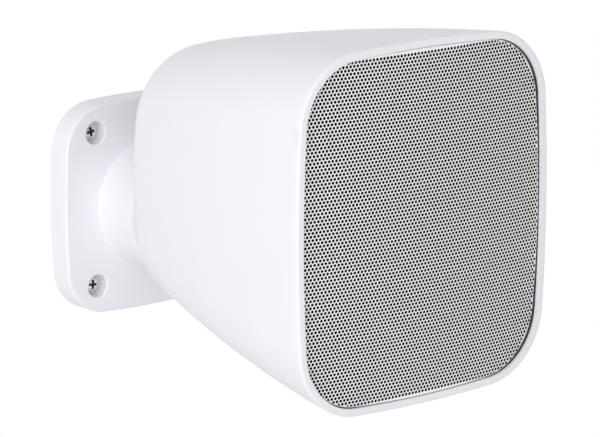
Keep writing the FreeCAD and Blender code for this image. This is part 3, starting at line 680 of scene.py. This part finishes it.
def spun(name, profile, facets):
    """Closed solid turned about z from a list of radius and height, ends on the axis."""
    shape = bmesh.new()
    first = shape.verts.new((0, 0, profile[0][1]))
    last = shape.verts.new((0, 0, profile[-1][1]))
    rings = []
    for radius, height in profile[1:-1]:
        turns = [2 * math.pi * facet / facets for facet in range(facets)]
        rings.append([shape.verts.new((radius * math.cos(turn), radius * math.sin(turn), height)) for turn in turns])
    for index in range(facets):
        shape.faces.new((first, rings[0][index], rings[0][index - 1]))
        shape.faces.new((last, rings[-1][index - 1], rings[-1][index]))
        for ring, after in zip(rings, rings[1:]):
            shape.faces.new((ring[index - 1], ring[index], after[index], after[index - 1]))
    bmesh.ops.recalc_face_normals(shape, faces=shape.faces)
    mesh = bpy.data.meshes.new(name)
    shape.to_mesh(mesh)
    shape.free()
    return mesh


def cross_tool(head_radius, top, depth):
    """Tapered cross that cuts the recess of a screw's head."""
    shape = bmesh.new()
    levels = []
    for z, share, width in ((top - depth, *recess_mouth), (top + depth, *recess_floor)):
        reach = head_radius * share
        half = head_radius * width
        arm = [(reach, -half), (reach, half), (half, half)]
        points = []
        for turn in range(4):
            spin = Matrix.Rotation(turn * math.pi / 2, 2)
            points += [spin @ Vector(point) for point in arm]
        levels.append([shape.verts.new((point.x, point.y, z)) for point in points])
    for index in range(len(levels[0])):
        shape.faces.new((levels[0][index - 1], levels[0][index], levels[1][index], levels[1][index - 1]))
    for level in levels:
        shape.faces.new(level)
    bmesh.ops.recalc_face_normals(shape, faces=shape.faces)
    mesh = bpy.data.meshes.new("cross_tool")
    shape.to_mesh(mesh)
    shape.free()
    return mesh


def screw_blank(node, head_radius, length):
    """Screw along +z without its thread: round pan or countersunk head with a cross recess, shank and point."""
    head_height, shank = screw_sizes[node][:2]
    if node in flush_screws:
        profile = [(0, 0), (head_radius * flush_land, 0), (head_radius, head_height * flush_edge), (shank, head_height)]
        top = 0
    else:
        profile = [(0, -head_height)]
        for step in range(1, pan_steps + 1):
            turn = math.pi / 2 * step / pan_steps
            height = head_height * (pan_edge + (1 - pan_edge) * math.cos(turn))
            profile.append((head_radius * math.sin(turn), -height))
        profile += [(head_radius, 0), (shank, 0)]
        top = -head_height
    profile += [(shank, length - point_length * shank), (shank * point_radius, length), (0, length)]
    blank = linked(node + "_blank", spun(node + "_blank", profile, screw_facets))
    blank.data.materials.append(finishes["zinc_steel"])
    tool = linked(node + "_recess", cross_tool(head_radius, top, head_height * recess_depth))
    tool.data.materials.append(recess_painted_shade)
    cut = blank.modifiers.new("recess", "BOOLEAN")
    cut.object = tool
    cut.operation = "DIFFERENCE"
    cut.material_mode = "TRANSFER"
    depsgraph = bpy.context.evaluated_depsgraph_get()
    mesh = bpy.data.meshes.new_from_object(blank.evaluated_get(depsgraph))
    blank.modifiers.remove(cut)
    blank.data = mesh
    crease_smooth(mesh)
    bpy.data.objects.remove(tool)
    return blank


def screw_tree(name):
    """Tree that sets a screw with a rolled thread on each point of the base mesh."""
    tree, sizes, end = tree_with(name, {
        "Screw": "Object", "Shank Radius": "Float", "Thread Start": "Float", "Thread Length": "Float",
        "Thread Pitch": "Float", "Tilt": "Float", "Seed": "Int"})
    blank = add(tree, "GeometryNodeObjectInfo", {"Object": sizes["Screw"]}).outputs["Geometry"]
    cut_faces = add(tree, "GeometryNodeMaterialSelection", {"Material": recess_painted_shade}).outputs[0]
    blank = add(tree, "GeometryNodeStoreNamedAttribute", {"Geometry": blank, "Name": recess_mark, "Value": cut_faces},
                data_type="BOOLEAN", domain="FACE").outputs[0]
    turns = maths(tree, "DIVIDE", sizes["Thread Length"], sizes["Thread Pitch"])
    helix = add(tree, "GeometryNodeCurveSpiral", {
        "Resolution": thread_steps, "Rotations": turns, "Start Radius": sizes["Shank Radius"],
        "End Radius": sizes["Shank Radius"], "Height": sizes["Thread Length"]})
    ridge = add(tree, "GeometryNodeCurvePrimitiveCircle", {
        "Resolution": thread_sides, "Radius": maths(tree, "MULTIPLY", sizes["Thread Pitch"], thread_ridge)})
    thread = add(tree, "GeometryNodeCurveToMesh", {"Curve": helix.outputs[0], "Profile Curve": ridge.outputs[0],
                                                  "Fill Caps": True}).outputs[0]
    rise = add(tree, "ShaderNodeCombineXYZ", {"Z": sizes["Thread Start"]}).outputs[0]
    thread = add(tree, "GeometryNodeTransform", {"Geometry": thread, "Translation": rise}).outputs[0]
    whole = joined(tree, blank, thread)
    tilt = add(tree, "ShaderNodeCombineXYZ", {"X": sizes["Tilt"]}).outputs[0]
    set_screws = add(tree, "GeometryNodeInstanceOnPoints", {"Points": sizes["Geometry"], "Instance": whole,
                                                           "Rotation": tilt}).outputs[0]
    spin = add(tree, "FunctionNodeRandomValue", {2: -screw_spin, 3: screw_spin, "Seed": sizes["Seed"]},
               data_type="FLOAT").outputs[1]
    spin = add(tree, "ShaderNodeCombineXYZ", {"Z": spin}).outputs[0]
    set_screws = add(tree, "GeometryNodeRotateInstances", {"Instances": set_screws, "Rotation": spin,
                                                          "Local Space": True}).outputs[0]
    recess = add(tree, "GeometryNodeInputNamedAttribute", {"Name": recess_mark}, data_type="BOOLEAN").outputs[0]
    # Faces cut by the cross take the dark painted shade
    close_tree(tree, set_screws, finishes["zinc_steel"], end, recess, recess_painted_shade)
    return tree


def threaded_screws():
    """Real screws in the place of each group of plain CAD screws."""
    tree = screw_tree("threaded_screws")
    for node, (head_height, shank, pitch) in screw_sizes.items():
        boxes = islands(node)
        low, high = boxes[0]
        head_radius = (high.x - low.x) / 2
        flush = node in flush_screws
        turned_round = node in backward_screws
        length = high.y - low.y - (0 if flush else head_height)
        seats = []
        for low, high in boxes:
            seat = high.y - head_height if turned_round else low.y + (0 if flush else head_height)
            seats.append(((low.x + high.x) / 2, seat, (low.z + high.z) / 2))
        base = bpy.data.meshes.new(node + "_seats")
        base.from_pydata(seats, [], [])
        blank = screw_blank(node, head_radius, length)
        start = head_height if flush else pitch
        piece = grown(node + "_threaded", base, tree, {
            "Screw": blank, "Shank Radius": shank - thread_sink * pitch, "Thread Start": start,
            "Thread Length": length - start - thread_stop * shank, "Thread Pitch": pitch,
            "Tilt": math.pi / 2 if turned_round else -math.pi / 2, "Seed": screw_seed})
        bpy.data.objects.remove(blank)
        stands_for(piece, node, True)


# Soft rings of the driver, in equal sectors

def sector_of(mesh, name, axis, turn, half):
    """Closed sector of a ring about an axis along y, cut by two planes through the axis."""
    shape = bmesh.new()
    shape.from_mesh(mesh)
    bmesh.ops.remove_doubles(shape, verts=shape.verts, dist=weld_reach)
    for side in (-1, 1):
        edge = turn + side * half
        outward = Vector((-math.sin(edge), 0, math.cos(edge))) * side
        parts = shape.verts[:] + shape.edges[:] + shape.faces[:]
        bmesh.ops.bisect_plane(shape, geom=parts, dist=weld_reach, plane_co=axis, plane_no=outward, clear_outer=True)
        rim = [line for line in shape.edges if line.is_boundary]
        bmesh.ops.holes_fill(shape, edges=rim, sides=0)
    bmesh.ops.recalc_face_normals(shape, faces=shape.faces)
    cut = bpy.data.meshes.new(name)
    shape.to_mesh(cut)
    shape.free()
    return cut


def soft_rings():
    """Surround and spider, cut into equal sectors about the driver's axis."""
    axis = Vector((0, 0, axis_z))
    for node, (inner, outer, sectors) in soft_bends.items():
        slot = slot_of[node]
        half = math.pi / sectors
        for index in range(sectors):
            turn = 2 * half * index
            name = f"{node}_{index + 1:02d}"
            piece = linked(name, sector_of(nodes[node].data, name, axis, turn, half))
            crease_smooth(piece.data)
            piece.data.materials.clear()
            piece.data.materials.append(finishes[slot])
            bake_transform(piece)
            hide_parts(node)


# The other pieces keep their CAD shape, welded and shaded smooth

def smooth_pieces():
    """Welded smooth copies of the CAD nodes that nothing else stands for."""
    made_otherwise = set(screw_sizes) | set(soft_bends) | {"front_grille"}
    for node in sorted(set(nodes) - made_otherwise):
        mesh = nodes[node].data.copy()
        crease_smooth(mesh)
        stands_for(linked(node + "_smooth", mesh), node)


# Studio

def camera():
    """Camera at the photograph's angle, on the front's middle."""
    turn, rise = camera_turn, camera_rise
    back = Vector((-math.sin(turn) * math.cos(rise), -math.cos(turn) * math.cos(rise), math.sin(rise)))
    right = Vector((math.cos(turn), -math.sin(turn), 0))
    up = back.cross(right)
    made = bpy.data.cameras.new("camera")
    made.sensor_width = sensor_width
    made.lens = sensor_width * focal_pixels / image_width
    made.clip_start = camera_near
    made.clip_end = camera_far
    eye = bpy.data.objects.new("camera", made)
    bpy.context.scene.collection.objects.link(eye)
    place = Vector((0, crown_y, axis_z)) + back * camera_distance + right * camera_aside + up * camera_lift
    turned = Matrix((right, up, back)).transposed()
    eye.matrix_world = Matrix.Translation(place) @ turned.to_4x4()
    bpy.context.scene.camera = eye


def soft_lamp(name, place, target, size, watts):
    """Square soft box that faces a target."""
    lamp = bpy.data.lights.new(name, "AREA")
    lamp.size = size
    lamp.energy = watts
    made = bpy.data.objects.new(name, lamp)
    bpy.context.scene.collection.objects.link(made)
    made.location = place
    made.rotation_mode = "QUATERNION"
    made.rotation_quaternion = (Vector(target) - Vector(place)).to_track_quat("-Z", "Y")


def seen_directly(tree):
    """1 for what the camera sees, also in gloss and through glass."""
    path = add(tree, "ShaderNodeLightPath").outputs
    mirrored = maths(tree, "MAXIMUM", path["Is Glossy Ray"], path["Is Transmission Ray"])
    return maths(tree, "MAXIMUM", path["Is Camera Ray"], mirrored)


def white_world(light):
    """White backdrop, with a plain level of even light."""
    world = bpy.data.worlds.new("studio")
    world.use_nodes = True
    bpy.context.scene.world = world
    tree = world.node_tree
    tree.nodes.clear()
    even = add(tree, "ShaderNodeBackground", {"Color": pure_white, "Strength": light}).outputs[0]
    backdrop = add(tree, "ShaderNodeBackground", {"Color": pure_white, "Strength": 1.0}).outputs[0]
    mix = add(tree, "ShaderNodeMixShader", {0: seen_directly(tree), 1: even, 2: backdrop}).outputs[0]
    add(tree, "ShaderNodeOutputWorld", {"Surface": mix})


def pale_floor(level, size):
    """Pale floor below the object that fades into the white backdrop."""
    mesh = bpy.data.meshes.new("floor")
    mesh.from_pydata([(-size, -size, level), (size, -size, level), (size, size, level), (-size, size, level)], [],
                     [(0, 1, 2, 3)])
    floor = linked("floor", mesh)
    material = bpy.data.materials.new("pale_floor")
    material.use_nodes = True
    tree = material.node_tree
    tree.nodes.clear()
    place = add(tree, "ShaderNodeTexCoord").outputs["Object"]
    below = (0, crown_y / 2, level)
    away = add(tree, "ShaderNodeVectorMath", {0: place, 1: below}, operation="DISTANCE").outputs["Value"]
    feeds = {"Value": away, "From Min": fade_start, "From Max": fade_end}
    fade = add(tree, "ShaderNodeMapRange", feeds).outputs["Result"]
    blend = maths(tree, "MULTIPLY", fade, seen_directly(tree))
    pale = add(tree, "ShaderNodeBsdfDiffuse", {"Color": floor_tone}).outputs[0]
    bright = add(tree, "ShaderNodeEmission", {"Color": pure_white, "Strength": 1.0}).outputs[0]
    mix = add(tree, "ShaderNodeMixShader", {0: blend, 1: pale, 2: bright}).outputs[0]
    add(tree, "ShaderNodeOutputMaterial", {"Surface": mix})
    mesh.materials.append(material)


perforated_sheet()
folded_rim()
baffle_rim()
threaded_screws()
soft_rings()
smooth_pieces()
camera()
middle = (cad_box[0] + cad_box[1]) / 2
soft_lamp("left_box", left_place, middle, lamp_size, left_watts)
soft_lamp("front_box", front_place, middle, lamp_size, front_watts)
white_world(even_light)
pale_floor(cad_box[0].z - floor_drop, floor_size)
bpy.context.scene.view_settings.view_transform = "Standard"
